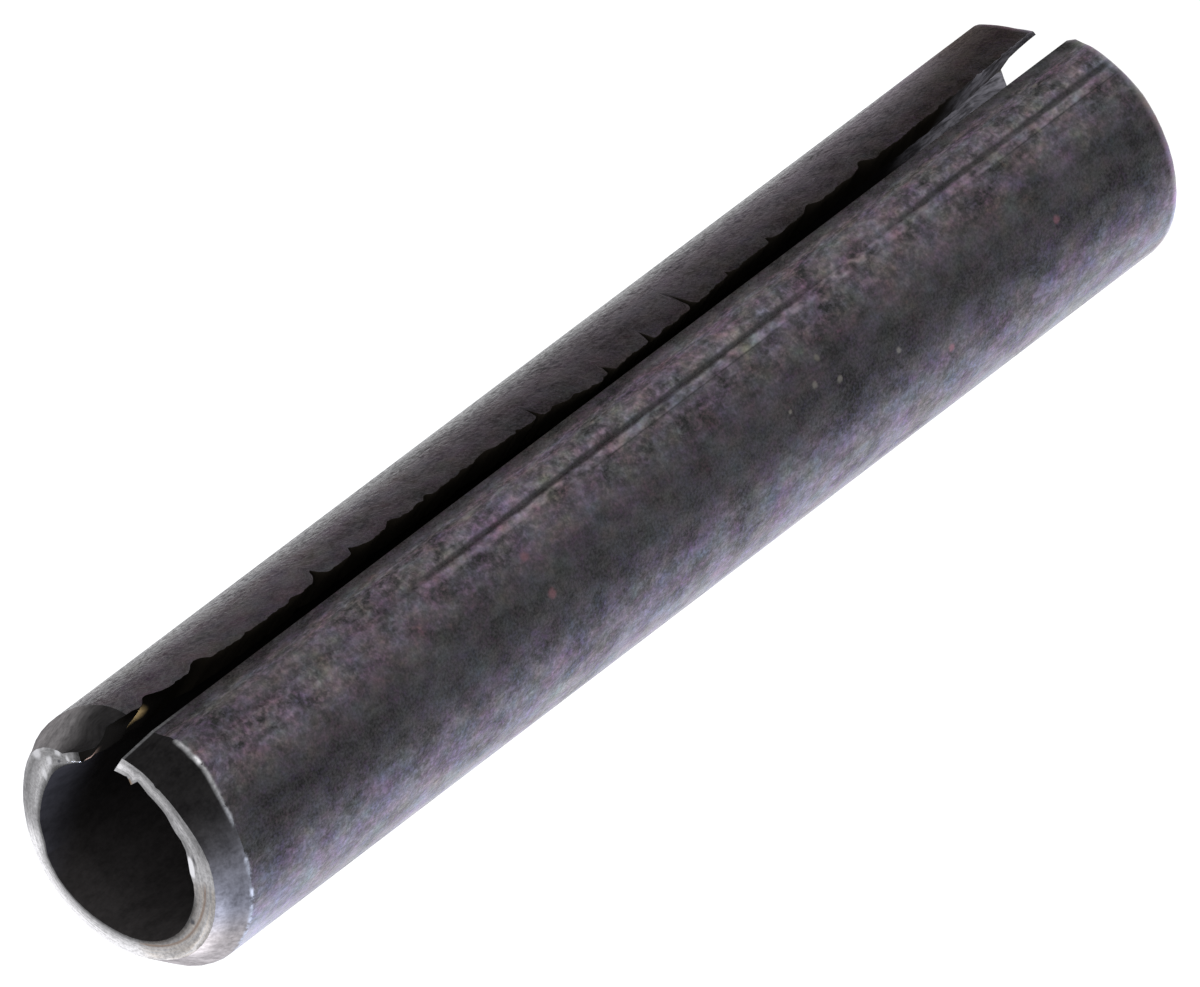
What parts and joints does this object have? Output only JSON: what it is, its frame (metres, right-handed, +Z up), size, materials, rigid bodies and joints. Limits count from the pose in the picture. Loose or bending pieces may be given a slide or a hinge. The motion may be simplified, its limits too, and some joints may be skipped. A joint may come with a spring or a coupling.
{
  "type": "spring roll pin",
  "caption": "Slotted spring pin: a strip of spring steel rolled into a C-shaped tube, open along one side, with a long lead-in cone at one end.",
  "frame": {"origin": "centre of the foot, the end without the long cone, on the surface that the pin stands on", "axes": "+Z up along the pin's own axis to the end with the lead-in cone; -Y out through the slot; the torn lip of the slot lies towards +X and the straight lip towards -X"},
  "size_m": [0.0024, 0.0024, 0.012],
  "materials": {
    "black_oxide_steel": "mottled dark oxide, satin, worn bright along the end edges"
  },
  "bodies": {
    "root": {"spring_pin": "black_oxide_steel"}
  },
  "joints": []
}
